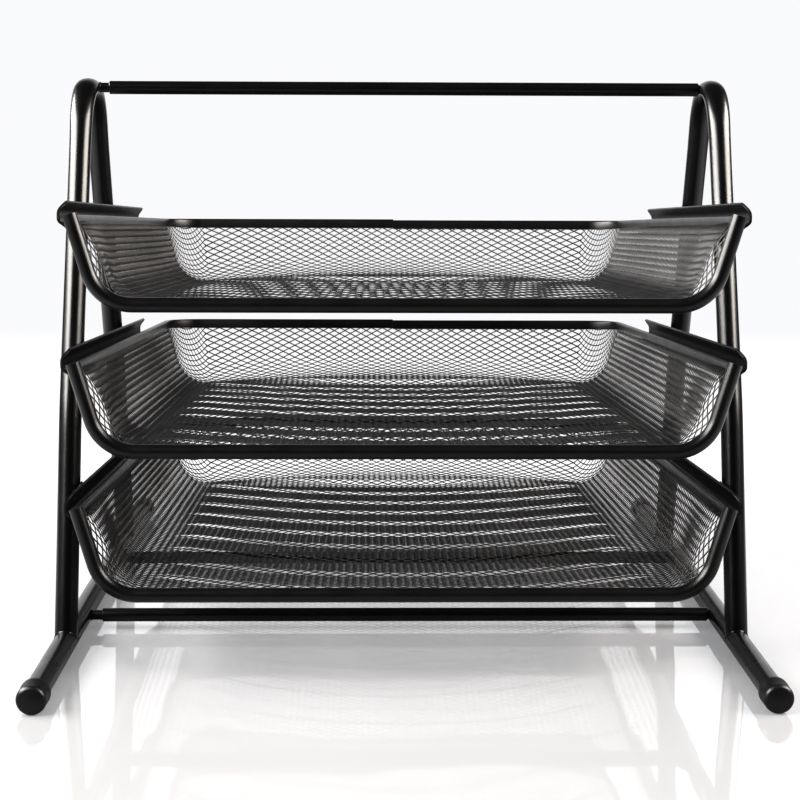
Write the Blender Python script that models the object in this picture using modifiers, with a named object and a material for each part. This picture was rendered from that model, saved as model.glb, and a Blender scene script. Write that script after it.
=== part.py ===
"""Three-tier letter tray: expanded-metal trays sliding in runners on an A-frame stand.

Metres, +Z up. The origin is the middle of the whole outline, on the surface that
the stand rests on. The object is symmetric about x = 0, and its front faces -Y.
"""

from math import cos, pi, radians, sin, sqrt, tan

import bmesh
import bpy
from mathutils import Matrix, Vector

GAP = 0.0003

# Stand: its y places are measured from the plane of the two bends at its top
STAND_Y = -0.0217         # that plane, which lies in front of the outline's middle
SIDE_X = 0.14266          # middle plane of each side frame
TUBE_RADIUS = 0.0048
CAP_RADIUS = 0.0060
CAP_SIDES = 30            # puts a flat of the cap straight down
RAIL_Z = CAP_RADIUS * cos(pi / CAP_SIDES)
FOOT_HALF_LENGTH = 0.1795  # to the outer face of a foot cap
TUBE_WALL = 0.0010
CAP_LENGTH = 0.0125
CAP_END_WALL = 0.0018
CAP_EDGE = 0.0011         # reach of the soft edge round a cap's closed face

LEG_TOP_Z = 0.2394        # tube centre line at the top bend
LEG_TOP_BEND = 0.0260
LEG_UPPER_LEAN = radians(20.9)
LEG_LOWER_LEAN = radians(14.7)
LEG_KINK_Z = 0.0996
LEG_KINK_BEND = 0.150

SLEEVE_RADIUS = 0.0030
SLEEVE_BORE = 0.0025
SLEEVE_HALF_LENGTH = 0.1330
SPIGOT_RADIUS = SLEEVE_BORE - GAP
SPIGOT_DEPTH = 0.0180     # length held inside the sleeve
FOOT_BAR_Y = 0.0546

# Tiers: heights of the trays' rim planes at the front ends of the runners
RUNNER_FRONT_Y = -0.1245
TIERS = {"upper": 0.1874, "middle": 0.1286, "lower": 0.0698}
TIER_TILT = radians(3.1)  # the back is the low end

# Runner section, in the tier's frame
RUNNER_LENGTH = 0.2490
RUNNER_SHEET = 0.0010
RUNNER_X = 0.1370         # middle of the sheet of the upright wall
RUNNER_TOP = 0.0052
RUNNER_FOLD = -0.0026
RUNNER_FLANGE = 0.0059    # flange width measured along x
RUNNER_FLANGE_DROP = radians(36.0)
RUNNER_FOLD_BEND = 0.0010
RUNNER_FRONT_ROUND = 0.0066
RUNNER_REAR_ROUND = 0.0025

# Tray, in the tier's frame: z = 0 is the rim plane and +y runs to the back
WALL_TOP_X = 0.1320       # middle of the wall where it meets the rim plane
WALL_LEAN = radians(17.0)
FLOOR_BEND = 0.0180
FLOOR_DEPTH = 0.0355
TRAY_BACK_Y = 0.3470
RIM_CORNER = 0.0200       # plan radius of a back corner at the rim
CORNER_TIGHTENING = 0.55  # corner radius lost for each unit moved inward
PAN_SHEET = 0.0008
PAN_EDGE_DEPTH = 0.0014   # the pan's edge ends inside the hem, this far below the rim plane
FRONT_RIM_RADIUS = 0.0030
HEM_HEIGHT = 0.0052
HEM_WIDTH = 0.0026
HEM_SHEET = 0.0005
HEM_EDGE_ROUND = 0.0008   # radius of the sheet's middle line along the hem's two top edges

# Steps in each arc
LEG_BEND_STEPS = 8
RUNNER_END_STEPS = 6
RUNNER_FOLD_STEPS = 4
CORNER_STEPS = 8
WALL_STEPS = 8
FRONT_RIM_STEPS = 10
HEM_EDGE_STEPS = 3

BLACK_PAINT = (0.012, 0.012, 0.013, 1.0)
BLACK_PLASTIC = (0.016, 0.016, 0.017, 1.0)
SIDES = {"left": -1.0, "right": 1.0}


def clear_scene():
    for thing in list(bpy.data.objects):
        bpy.data.objects.remove(thing, do_unlink=True)


def new_collection(name):
    collection = bpy.data.collections.new(name)
    bpy.context.scene.collection.children.link(collection)
    return collection


def add_material(thing, colour, roughness, metallic):
    material = bpy.data.materials.new(thing.name + "_material")
    material.use_nodes = True
    shader = material.node_tree.nodes["Principled BSDF"]
    shader.inputs["Base Color"].default_value = colour
    shader.inputs["Roughness"].default_value = roughness
    shader.inputs["Metallic"].default_value = metallic
    thing.data.materials.clear()
    thing.data.materials.append(material)


def paint(thing):
    add_material(thing, BLACK_PAINT, 0.32, 0.0)


def smooth(thing, angle=35.0):
    thing.data.shade_smooth()
    thing.data.set_sharp_from_angle(angle=radians(angle))


def rounded(points, radii, steps):
    """A 2D polyline with each inner corner replaced by an arc of its radius."""
    result = [Vector(points[0])]
    for i in range(1, len(points) - 1):
        corner = Vector(points[i])
        back = (Vector(points[i - 1]) - corner).normalized()
        ahead = (Vector(points[i + 1]) - corner).normalized()
        half_angle = back.angle(ahead) / 2.0
        reach = radii[i - 1] / tan(half_angle)
        centre = corner + (back + ahead).normalized() * radii[i - 1] / sin(half_angle)
        start = corner + back * reach - centre
        end = corner + ahead * reach - centre
        turn = start.angle_signed(end)
        for step in range(steps + 1):
            result.append(centre + Matrix.Rotation(-turn * step / steps, 2) @ start)
    result.append(Vector(points[-1]))
    return result


def tube(name, points, radius, collection, resolution):
    """A solid round bar along 3D points, with flat ends."""
    curve = bpy.data.curves.new(name, "CURVE")
    curve.dimensions = "3D"
    curve.bevel_depth = radius
    curve.bevel_resolution = resolution
    curve.use_fill_caps = True
    spline = curve.splines.new("POLY")
    spline.points.add(len(points) - 1)
    for point, place in zip(spline.points, points):
        point.co = (*place, 1.0)
    thing = bpy.data.objects.new(name, curve)
    collection.objects.link(thing)
    return thing


def as_mesh(thing):
    """The same object as a closed mesh, so that it can take a Boolean."""
    name = thing.name
    collection = thing.users_collection[0]
    place = thing.matrix_world.copy()
    graph = bpy.context.evaluated_depsgraph_get()
    mesh = bpy.data.meshes.new_from_object(thing.evaluated_get(graph))
    bpy.data.objects.remove(thing, do_unlink=True)
    body = bmesh.new()
    body.from_mesh(mesh)
    bmesh.ops.remove_doubles(body, verts=body.verts, dist=0.00001)
    body.to_mesh(mesh)
    body.free()
    mesh.name = name
    solid = bpy.data.objects.new(name, mesh)
    solid.matrix_world = place
    collection.objects.link(solid)
    return solid


def turned(name, profile, collection, steps, closed):
    """A solid of revolution about local Z from a profile of (radius, z) points."""
    mesh = bpy.data.meshes.new(name)
    body = bmesh.new()
    verts = [body.verts.new((radius, 0.0, z)) for radius, z in profile]
    for first, second in zip(verts, verts[1:]):
        body.edges.new((first, second))
    if closed:
        body.edges.new((verts[-1], verts[0]))
    body.to_mesh(mesh)
    body.free()
    thing = bpy.data.objects.new(name, mesh)
    collection.objects.link(thing)
    screw = thing.modifiers.new("turn", "SCREW")
    screw.steps = steps
    screw.render_steps = steps
    screw.use_merge_vertices = True
    screw.merge_threshold = 0.00001
    screw.use_normal_calculate = False
    screw.use_smooth_shade = True
    return thing


def pipe_profile(outer, inner, half_length):
    return [(outer, half_length), (outer, -half_length), (inner, -half_length), (inner, half_length)]


def sheet(name, rows, thickness, collection, floor_face=False):
    """A sheet-metal piece: an open surface through rows of points, thickened both ways."""
    mesh = bpy.data.meshes.new(name)
    body = bmesh.new()
    grid = [[body.verts.new(point) for point in row] for row in rows]
    for row, following in zip(grid, grid[1:]):
        for i in range(len(row) - 1):
            body.faces.new((row[i], row[i + 1], following[i + 1], following[i]))
    if floor_face:
        body.faces.new(grid[-1])
    bmesh.ops.recalc_face_normals(body, faces=body.faces)
    body.to_mesh(mesh)
    body.free()
    thing = bpy.data.objects.new(name, mesh)
    collection.objects.link(thing)
    thicken = thing.modifiers.new("sheet", "SOLIDIFY")
    thicken.thickness = thickness
    thicken.offset = 0.0
    thicken.use_even_offset = True
    return thing


def leg_points(steps):
    """Centre line of one inverted-V leg tube: kinked legs under a round top bend."""
    peak_z = LEG_TOP_Z - LEG_TOP_BEND + LEG_TOP_BEND / sin(LEG_UPPER_LEAN)
    kink_y = (peak_z - LEG_KINK_Z) * tan(LEG_UPPER_LEAN)
    foot_y = kink_y + (LEG_KINK_Z - RAIL_Z) * tan(LEG_LOWER_LEAN)
    corners = [(-foot_y, RAIL_Z), (-kink_y, LEG_KINK_Z), (0.0, peak_z),
               (kink_y, LEG_KINK_Z), (foot_y, RAIL_Z)]
    bends = [LEG_KINK_BEND, LEG_TOP_BEND, LEG_KINK_BEND]
    return [(0.0, y, z) for y, z in rounded(corners, bends, steps)]


def build_side_frame(side, sign, parts, cutters):
    """The leg tube, the foot rail that it is welded on, and the rail's two end caps."""
    leg = as_mesh(tube(side + "_leg_tube", leg_points(LEG_BEND_STEPS), TUBE_RADIUS, parts, 6))
    leg.location = (sign * SIDE_X, STAND_Y, 0.0)
    bpy.ops.mesh.primitive_cylinder_add(vertices=48, radius=TUBE_RADIUS + GAP,
                                        depth=2.0 * FOOT_HALF_LENGTH,
                                        location=(sign * SIDE_X, STAND_Y, RAIL_Z),
                                        rotation=(pi / 2.0, 0.0, 0.0))
    saddle = bpy.context.active_object
    saddle.name = side + "_saddle_cutter"
    for collection in list(saddle.users_collection):
        collection.objects.unlink(saddle)
    cutters.objects.link(saddle)
    saddle.hide_render = True
    saddle.display_type = "WIRE"
    cut = leg.modifiers.new("saddle", "BOOLEAN")
    cut.operation = "DIFFERENCE"
    cut.object = saddle
    smooth(leg)
    paint(leg)

    rail_half = FOOT_HALF_LENGTH - CAP_END_WALL - GAP
    profile = pipe_profile(TUBE_RADIUS, TUBE_RADIUS - TUBE_WALL, rail_half)
    rail = turned(side + "_foot_rail", profile, parts, 32, True)
    rail.location = (sign * SIDE_X, STAND_Y, RAIL_Z)
    rail.rotation_euler.x = pi / 2.0
    paint(rail)

    for end, turn in (("front", 1.0), ("rear", -1.0)):
        cap = turned(end + "_" + side + "_foot_cap", cap_profile(), parts, CAP_SIDES, False)
        cap.location = (sign * SIDE_X, STAND_Y - turn * FOOT_HALF_LENGTH, RAIL_Z)
        cap.rotation_euler.x = turn * pi / 2.0
        add_material(cap, BLACK_PLASTIC, 0.62, 0.0)


def cap_profile():
    """Half section of a push-on cap: its closed face is at z = 0 and it opens downward."""
    edge = CAP_EDGE
    bore = TUBE_RADIUS + GAP
    return [(0.0, 0.0),
            (CAP_RADIUS - 2.0 * edge, -0.1 * edge),
            (CAP_RADIUS - edge, -0.3 * edge),
            (CAP_RADIUS - 0.3 * edge, -edge),
            (CAP_RADIUS, -2.0 * edge),
            (CAP_RADIUS, -CAP_LENGTH),
            (bore, -CAP_LENGTH),
            (bore, -CAP_END_WALL),
            (0.0, -CAP_END_WALL)]


def build_crossbar(name, y, z, parts):
    """A sleeve tube held at each end on a spigot that is welded to a side frame."""
    profile = pipe_profile(SLEEVE_RADIUS, SLEEVE_BORE, SLEEVE_HALF_LENGTH)
    sleeve = turned(name + "_crossbar", profile, parts, 24, True)
    sleeve.location = (0.0, y, z)
    sleeve.rotation_euler.y = pi / 2.0
    paint(sleeve)

    inner_end = SLEEVE_HALF_LENGTH - SPIGOT_DEPTH
    outer_end = SIDE_X - TUBE_RADIUS - GAP
    for side, sign in SIDES.items():
        ends = [(sign * inner_end, y, z), (sign * outer_end, y, z)]
        spigot = tube(name + "_" + side + "_spigot", ends, SPIGOT_RADIUS, parts, 4)
        paint(spigot)


def corner_cut(distance, radius):
    """How far a rounded corner lies below a straight edge, at a distance from its end."""
    if distance >= radius:
        return 0.0
    return radius - sqrt(radius * radius - (radius - distance) ** 2)


def runner_stations(steps):
    """Places along a runner, close together where the upright wall is rounded off."""
    front = [RUNNER_FRONT_ROUND * (1.0 - cos(pi / 2.0 * i / steps)) for i in range(steps + 1)]
    rear = [RUNNER_REAR_ROUND * (1.0 - cos(pi / 2.0 * i / steps)) for i in range(steps + 1)]
    return front + [RUNNER_LENGTH - distance for distance in reversed(rear)]


def build_runner(name, sign, parts):
    """A folded strip: an upright wall with a flange that slopes in under the tray's hem."""
    flange_end = (RUNNER_X - RUNNER_FLANGE,
                  RUNNER_FOLD - RUNNER_FLANGE * tan(RUNNER_FLANGE_DROP))
    rows = []
    for y in runner_stations(RUNNER_END_STEPS):
        drop = max(corner_cut(y, RUNNER_FRONT_ROUND),
                   corner_cut(RUNNER_LENGTH - y, RUNNER_REAR_ROUND))
        corners = [(RUNNER_X, RUNNER_TOP - drop), (RUNNER_X, RUNNER_FOLD), flange_end]
        section = rounded(corners, [RUNNER_FOLD_BEND], RUNNER_FOLD_STEPS)
        rows.append([(sign * x, y, z) for x, z in section])
    runner = sheet(name, rows, RUNNER_SHEET, parts)
    smooth(runner)
    paint(runner)
    return runner


def wall_section(steps):
    """The tray wall from the rim plane to the flat floor, as (moved inward, z) points."""
    floor_start = FLOOR_DEPTH * tan(WALL_LEAN) + FLOOR_BEND * 2.0
    corners = [(0.0, 0.0), (FLOOR_DEPTH * tan(WALL_LEAN), -FLOOR_DEPTH),
               (floor_start, -FLOOR_DEPTH)]
    return rounded(corners, [FLOOR_BEND], steps)[:-1]


def rim_outline(inward):
    """The plan outline of the sides and back of a tray, moved inward from the rim."""
    half_width = WALL_TOP_X - inward
    back = TRAY_BACK_Y - inward
    radius = RIM_CORNER - CORNER_TIGHTENING * inward
    corners = [(-half_width, 0.0), (-half_width, back), (half_width, back), (half_width, 0.0)]
    return rounded(corners, [radius, radius], CORNER_STEPS)


def build_pan(name, parts):
    """Floor, side walls and back wall of a tray, pressed from one sheet."""
    section = wall_section(WALL_STEPS)
    start = (PAN_EDGE_DEPTH * tan(WALL_LEAN), -PAN_EDGE_DEPTH)
    rows = []
    for inward, z in [start] + section[1:]:
        rows.append([(x, y, z) for x, y in rim_outline(inward)])
    pan = sheet(name, rows, PAN_SHEET, parts, floor_face=True)
    smooth(pan)
    paint(pan)
    return pan


def build_front_rim(name, parts):
    """A round bar down one wall's front edge, across the floor's and up the other's."""
    half = [(WALL_TOP_X - inward, z) for inward, z in wall_section(FRONT_RIM_STEPS)]
    outline = half + [(-x, z) for x, z in reversed(half)]
    y = -FRONT_RIM_RADIUS - GAP
    rim = tube(name, [(x, y, z) for x, z in outline], FRONT_RIM_RADIUS, parts, 5)
    paint(rim)
    return rim


def hem_section():
    """Section of the folded strip over the wall's edge: (outward, up the wall) points."""
    half = (HEM_WIDTH - HEM_SHEET) / 2.0
    low = -HEM_HEIGHT
    high = -HEM_SHEET / 2.0
    return rounded([(-half, low), (-half, high), (half, high), (half, low)],
                   [HEM_EDGE_ROUND, HEM_EDGE_ROUND], HEM_EDGE_STEPS)


def build_hem(name, sign, parts):
    """Half of the folded rim strip: one side, one back corner and half of the back."""
    outline = [Vector(point) for point in rim_outline(0.0)]
    half_count = len(outline) // 2
    path = outline[:half_count] + [Vector((-GAP / 2.0, TRAY_BACK_Y))]
    rows = []
    for i, place in enumerate(path):
        before = path[max(i - 1, 0)]
        after = path[min(i + 1, len(path) - 1)]
        along = (after - before).normalized()
        outward = Vector((-along.y, along.x))
        row = []
        for across, up in hem_section():
            out = across * cos(WALL_LEAN) + up * sin(WALL_LEAN)
            z = up * cos(WALL_LEAN) - across * sin(WALL_LEAN)
            point = place + outward * out
            row.append((-sign * point.x, point.y, z))
        rows.append(row)
    hem = sheet(name, rows, HEM_SHEET, parts)
    smooth(hem)
    paint(hem)
    return hem


def place_in_tier(thing, height):
    thing.location = (0.0, STAND_Y + RUNNER_FRONT_Y, height)
    thing.rotation_euler.x = -TIER_TILT


def build_tier(tier, height, parts):
    """Two fixed runners and the tray that slides in them."""
    for side, sign in SIDES.items():
        place_in_tier(build_runner(tier + "_" + side + "_runner", sign, parts), height)

    slide = bpy.data.objects.new(tier + "_tray_slide", None)
    slide.empty_display_size = 0.02
    parts.objects.link(slide)
    place_in_tier(slide, height)
    tray = [build_pan(tier + "_mesh_pan", parts), build_front_rim(tier + "_front_rim", parts)]
    for side, sign in SIDES.items():
        tray.append(build_hem(tier + "_" + side + "_rim_hem", sign, parts))
    for piece in tray:
        piece.parent = slide


def main():
    clear_scene()
    parts = new_collection("letter_tray")
    cutters = new_collection("letter_tray_cutters")
    for side, sign in SIDES.items():
        build_side_frame(side, sign, parts, cutters)
    build_crossbar("top", STAND_Y, LEG_TOP_Z, parts)
    build_crossbar("front", STAND_Y - FOOT_BAR_Y, RAIL_Z, parts)
    build_crossbar("rear", STAND_Y + FOOT_BAR_Y, RAIL_Z, parts)
    for tier, height in TIERS.items():
        build_tier(tier, height, parts)


main()
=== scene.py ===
"""Looks for the three-tier letter tray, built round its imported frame.

Metres, +Z up, front at -Y, as in the CAD model. Each piece of the trays and of the
stand is modelled again at a finer level, in the place of its CAD solid.
"""

from math import asin, ceil, cos, hypot, pi, radians, sin, sqrt, tan

import bmesh
import bpy
import numpy as np
from mathutils import Matrix, Vector


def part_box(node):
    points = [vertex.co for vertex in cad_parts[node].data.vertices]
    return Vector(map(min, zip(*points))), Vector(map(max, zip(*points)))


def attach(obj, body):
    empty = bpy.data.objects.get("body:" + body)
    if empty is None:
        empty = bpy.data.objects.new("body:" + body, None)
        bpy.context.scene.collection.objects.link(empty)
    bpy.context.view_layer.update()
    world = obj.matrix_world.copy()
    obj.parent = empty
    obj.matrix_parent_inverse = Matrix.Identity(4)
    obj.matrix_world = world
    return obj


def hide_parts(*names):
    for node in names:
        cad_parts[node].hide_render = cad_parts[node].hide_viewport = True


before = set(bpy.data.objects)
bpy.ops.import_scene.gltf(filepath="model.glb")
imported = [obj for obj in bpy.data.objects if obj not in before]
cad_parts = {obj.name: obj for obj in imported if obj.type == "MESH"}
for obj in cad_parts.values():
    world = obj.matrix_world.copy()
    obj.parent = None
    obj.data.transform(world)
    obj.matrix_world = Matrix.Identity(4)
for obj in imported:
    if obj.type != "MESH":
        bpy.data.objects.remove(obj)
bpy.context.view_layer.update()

# Meshes in general
SHARP_ANGLE = 35.0           # edges that turn by more degrees than this stay sharp
SPACING_TOLERANCE = 0.001
NEARLY_ZERO = 1e-9

# Stand
STAND_Y = -0.0217
RAIL_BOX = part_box("right_foot_rail")
SIDE_X = (RAIL_BOX[0].x + RAIL_BOX[1].x) / 2.0
TUBE_RADIUS = (RAIL_BOX[1].x - RAIL_BOX[0].x) / 2.0
RAIL_Z = (RAIL_BOX[0].z + RAIL_BOX[1].z) / 2.0
RAIL_HALF_LENGTH = (RAIL_BOX[1].y - RAIL_BOX[0].y) / 2.0
RAIL_WALL = 0.0010
RAIL_EDGE = 0.0003
RAIL_SIDES = 64
LEG_TOP_Z = 0.2394
LEG_TOP_BEND = 0.0260
LEG_UPPER_LEAN = radians(20.9)
LEG_LOWER_LEAN = radians(14.7)
LEG_KINK_Z = 0.0996
LEG_KINK_BEND = 0.150
LEG_TOP_WIDENING = 0.15      # the tube flattens in its top bend: wider sideways, thinner radially
LEG_TOP_THINNING = 0.12
LEG_FLAT_REACH = 0.0420      # and is round again this far from the apex
LEG_BEND_STEPS = 24
LEG_SPACING = 0.006
LEG_SIDES = 48

# Foot caps
CAP_PLACE = 0.1795           # from the middle of the rail to the middle of the cap's end face
CAP_RADIUS = 0.0060
CAP_LENGTH = 0.0125
CAP_DOME = 0.00060
CAP_DOME_STEPS = 6
CAP_FACE_EDGE = 0.0019
CAP_FACE_EDGE_STEPS = 8
CAP_FACE_THICKNESS = 0.0019
CAP_COLLAR_LENGTH = 0.0032
CAP_COLLAR_STEP = 0.00012
CAP_SHOULDER_START = 0.0002  # the step up to the collar starts this far in front of its edge
CAP_SHOULDER_END = 0.0001    # and ends this far behind it
CAP_MOUTH_EDGE = 0.0009
CAP_MOUTH_STEPS = 4
CAP_CLEARANCE = 0.0001
CAP_SIDES = 72
CAP_SHARP_ANGLE = 50.0

# Crossbars: a sleeve that has slid to the right over its two pins, so only the left pin shows
FOOT_BAR_Y = 0.0546
SLEEVE_RADIUS = 0.0030
SLEEVE_BORE = 0.0025
SLEEVE_EDGE = 0.00025
SLEEVE_LEFT_END = -0.1330
SLEEVE_RIGHT_GAP = 0.0002
SLEEVE_SIDES = 40
SPIGOT_RADIUS = 0.0022
SPIGOT_INNER_END = 0.1150
SPIGOT_EMBED = 0.0004        # how far a pin's end runs into the tube's wall
SPIGOT_SIDES = 32

# Weld beads
BEAD_SIDES = 10
PIN_BEAD_RADIUS = 0.00040
PIN_BEAD_EMBED = 0.0001
PIN_BEAD_STEPS = 28
FOOT_BEAD_RADIUS = 0.00048
FOOT_BEAD_STEPS = 26
FOOT_BEAD_END_SIZE = 0.30    # share of the full radius that is left at its two ends
RUNNER_BEAD_RADIUS = 0.00075
RUNNER_BEAD_STEPS = 12
RUNNER_BEAD_HALF_LENGTH = 0.0026
RUNNER_BEAD_END_SHARE = 0.02  # share of the cross-section that is left at its two ends
RUNNER_BEAD_OFFSET = 0.0021  # from the leg's centre line to the bead, along the runner
RUNNER_BEAD_RISE = 0.0012
RUNNER_BEAD_GAP = 0.0001

# Tiers
TIER_FRONT_Y = -0.1462
TIERS = {"upper": 0.1874, "middle": 0.1286, "lower": 0.0698}
TIER_TILT = radians(3.1)
RUNNER_LENGTH = 0.2490
RUNNER_SHEET = 0.0010
RUNNER_X = 0.1370
RUNNER_TOP = 0.0052
RUNNER_FOLD = -0.0026
RUNNER_FLANGE = 0.0059
RUNNER_FLANGE_DROP = radians(36.0)
RUNNER_FOLD_BEND = 0.0022
RUNNER_TOP_IN = 0.0028       # how far the wall's top edge leans in over the tray's hem
RUNNER_TOP_BEND = 0.0036
RUNNER_BEND_STEPS = 8
RUNNER_SECTION_STEPS = 22
RUNNER_FRONT_ROUND = 0.0066
RUNNER_REAR_ROUND = 0.0025
RUNNER_ROUND_STEPS = 14
RUNNER_EDGE = 0.00022
RUNNER_EDGE_ANGLE = radians(50.0)

# Trays, in the tier's frame: z = 0 is the rim plane and +y runs to the back
WALL_TOP_X = 0.1320
WALL_LEAN = radians(17.0)
FLOOR_BEND = 0.0180
FLOOR_DEPTH = 0.0355
TRAY_BACK_Y = 0.3470
RIM_CORNER = 0.0200
CORNER_TIGHTENING = 0.55     # loss of corner radius for each metre that a wall leans in
CORNER_SPREAD_LENGTH = 0.070  # the mesh beside a corner is stretched over this length
FRONT_RIM_RADIUS = 0.0030
FRONT_RIM_GAP = 0.0003
FRONT_RIM_LIP = 0.00080      # half the thickness of the two lips together
FRONT_RIM_LIP_LENGTH = 0.0019
FRONT_RIM_STEPS = 48
FRONT_RIM_SECTION_STEPS = 30
FRONT_RIM_SHARP_ANGLE = 45.0
HEM_HEIGHT = 0.0052
HEM_SIDE_HEIGHT = 0.0038     # the strip is shorter along the sides than along the back
HEM_GROWTH = 12              # a high power: it grows taller only just before the back corner
HEM_WIDTH = 0.0026
HEM_FOOT = 0.00060
HEM_CROWN = 0.0012
HEM_CROWN_STEPS = 14
HEM_INNER_BULGE = 0.0019
HEM_OUTER_TUCK = 0.00012
HEM_PINCH = 0.0013           # height of the outer side's turn in to the foot
HEM_DROP = 0.0005            # how much lower the right half ends, in the middle of the back
HEM_HALVES_GAP = 0.00002     # from the middle of the back to the end of each half
HEM_SPACING = 0.01
HEM_CORNER_STEPS = 20
HEM_SHARP_ANGLE = 40.0

# Expanded metal: half the long and the short way of a diamond are set by whole counts
HALF_COLUMNS = 48
ROWS = 198
STRAND_WIDTH = 0.00062
STRAND_THICKNESS = 0.00042
STRAND_TWIST = 0.00016
FLOOR_STRAND_SCALE = 0.98    # the strands lie a little flatter on the floor
MESH_EDGE_COVER = 0.0042     # side strands end this far below the rim, under the hem
MESH_BACK_COVER = 0.0032
MESH_CORNER_COVER = 0.0020
MESH_FRONT_COVER = 0.0010
MESH_EDGE_LIMIT = 0.0007     # no point of the sheet comes nearer to the rim than this
MESH_TOLERANCE = 1e-5

# Shallow waves across each tray's floor: a short flank that faces the front, then a long one
WAVE_PITCH = 0.0340
WAVE_HEIGHT = 0.00115
WAVE_FRONT_SHARE = 0.13
WAVE_BOW = 0.0360
WAVE_FADE = 0.0100
BACK_EASE = 0.0052           # how far the middle of the back bend is eased off its corner
BACK_EASE_REACH = 0.0360
BELLY = 0.0044               # how far the side walls bow in just behind the front rim
BELLY_FRONT = 0.0120
BELLY_LENGTH = 0.0750

# Paint: scales of its tone patches, its gloss patches and the skin of a sprayed coat
PATCH_SCALE = 55.0
GLOSS_SCALE = 88.0
SPRAY_SCALE = 900.0
SKIN_STRENGTH = 0.5
NOISE_LOW = 0.3              # most of a noise texture's values lie between these two
NOISE_HIGH = 0.7

# Floor and backdrop, where a level is the strength of light that they give off
FLOOR_HALF_SIZE = 6.0
FLOOR_COLOUR = (0.19, 0.19, 0.195, 1.0)
FLOOR_ROUGHNESS = 0.04
FLOOR_IOR = 1.5
FLOOR_GLOW_COLOUR = (0.97, 0.98, 1.0, 1.0)
FLOOR_LIT_LEVELS = (0.10, 1.3)    # for reflections, near the middle and out at the sides
FLOOR_LIT_PLACES = (0.18, 0.50)   # and how far to the side each of the two levels is met
FLOOR_SEEN_LEVELS = (0.18, 0.48)  # the same for the camera
FLOOR_SEEN_PLACES = (0.22, 0.70)
FLOOR_FADE_START = 0.38
FLOOR_FADE_END = 1.2
FLOOR_RIPPLE_SCALE = 9.0
FLOOR_RIPPLE_HEIGHT = 0.0015
FLOOR_RIPPLE_STRENGTH = 0.35
BACKDROP_COLOUR = (0.985, 0.987, 1.0, 1.0)
BACKDROP_SEEN_LEVEL = 0.68
BACKDROP_FRONT_LEVEL = 0.015      # for reflections, towards the front and the sides
BACKDROP_BACK_LEVEL = 0.95        # for reflections, towards the back
BACKDROP_TURN = (0.80, 0.94)      # where one turns into the other: the +y part of a direction

# Lights: azimuth (0 is the front, positive to the right) and elevation in degrees, width,
# height, radiance and colour
LIGHT_TARGET = Vector((0.0, 0.0, 0.12))
LIGHT_DISTANCE = 1.2
SIDE_LIGHTS = {
    "left": (-80.0, 31.0, 1.68, 0.51, 19.0, (1.0, 0.98, 0.94)),
    "right": (80.0, 31.0, 1.07, 0.51, 17.0, (1.0, 0.94, 0.88)),
}
TOP_LIGHT = (0.0, 85.0, 1.60, 1.60, 1.6, (0.98, 0.99, 1.0))

# Camera
CAMERA_LENS = 81.6
CAMERA_SENSOR = 36.0
CAMERA_PLACE = (-0.0151, STAND_Y - 0.8440, 0.22112)
CAMERA_TURN = radians(-1.05)
CAMERA_PITCH = radians(90.0 - 8.5)
CAMERA_ROLL = radians(0.215)

SIDES = {"left": -1.0, "right": 1.0}


# ---------------------------------------------------------------- shape helpers

def rounded(points, radii, steps):
    """A 2D polyline with each inner corner replaced by an arc of its radius."""
    result = [Vector(points[0])]
    for i in range(1, len(points) - 1):
        corner = Vector(points[i])
        back = (Vector(points[i - 1]) - corner).normalized()
        ahead = (Vector(points[i + 1]) - corner).normalized()
        half_angle = back.angle(ahead) / 2.0
        reach = radii[i - 1] / tan(half_angle)
        centre = corner + (back + ahead).normalized() * radii[i - 1] / sin(half_angle)
        start = corner + back * reach - centre
        end = corner + ahead * reach - centre
        turn = start.angle_signed(end)
        for step in range(steps + 1):
            result.append(centre + Matrix.Rotation(-turn * step / steps, 2) @ start)
    result.append(Vector(points[-1]))
    return result


def resampled(points, spacing):
    """The same polyline with extra points, so that none are further apart than spacing."""
    result = [Vector(points[0])]
    for first, second in zip(points, points[1:]):
        length = (Vector(second) - Vector(first)).length
        count = max(1, ceil(length / spacing - SPACING_TOLERANCE))
        for i in range(1, count + 1):
            result.append(Vector(first).lerp(Vector(second), i / count))
    return result


def new_object(name, verts, faces, sharp=SHARP_ANGLE):
    """A smooth-shaded mesh object with edges sharper than an angle (degrees) kept sharp."""
    mesh = bpy.data.meshes.new(name)
    mesh.from_pydata([tuple(v) for v in verts], [], faces)
    mesh.update()
    mesh.shade_smooth()
    mesh.set_sharp_from_angle(angle=radians(sharp))
    thing = bpy.data.objects.new(name, mesh)
    bpy.context.scene.collection.objects.link(thing)
    return thing


def sweep(name, path, section, up, closed_path=False, scale=None, sharp=SHARP_ANGLE):
    """A closed solid: a 2D section (across, up) carried along a 3D path.

    up is one fixed direction, square to the path. Sections turn to face along the path,
    and scale holds a pair of factors (across, up) for each.
    """
    path = [Vector(p) for p in path]
    up = Vector(up).normalized()
    count = len(path)
    verts = []
    for i, place in enumerate(path):
        before = path[i - 1] if (i > 0 or closed_path) else path[i]
        after = path[(i + 1) % count] if (i < count - 1 or closed_path) else path[i]
        along = (after - before).normalized()
        across = along.cross(up).normalized()
        stretch = 1.0
        if 0 < i < count - 1 or closed_path:
            bend = (place - before).normalized().angle((after - place).normalized(), 0.0)
            stretch = 1.0 / cos(bend / 2.0)
        wide, tall = scale[i] if scale else (1.0, 1.0)
        for x, y in section:
            verts.append(place + across * x * stretch * wide + up * y * tall)
    m = len(section)
    faces = []
    for i in range(count if closed_path else count - 1):
        a = i * m
        b = ((i + 1) % count) * m
        for k in range(m):
            n = (k + 1) % m
            faces.append((a + k, a + n, b + n, b + k))
    if not closed_path:
        faces.append(tuple(range(m - 1, -1, -1)))
        faces.append(tuple((count - 1) * m + k for k in range(m)))
    return new_object(name, verts, faces, sharp)


def ring(radius, sides):
    return [(radius * cos(2.0 * pi * k / sides), radius * sin(2.0 * pi * k / sides))
            for k in range(sides)]


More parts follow.
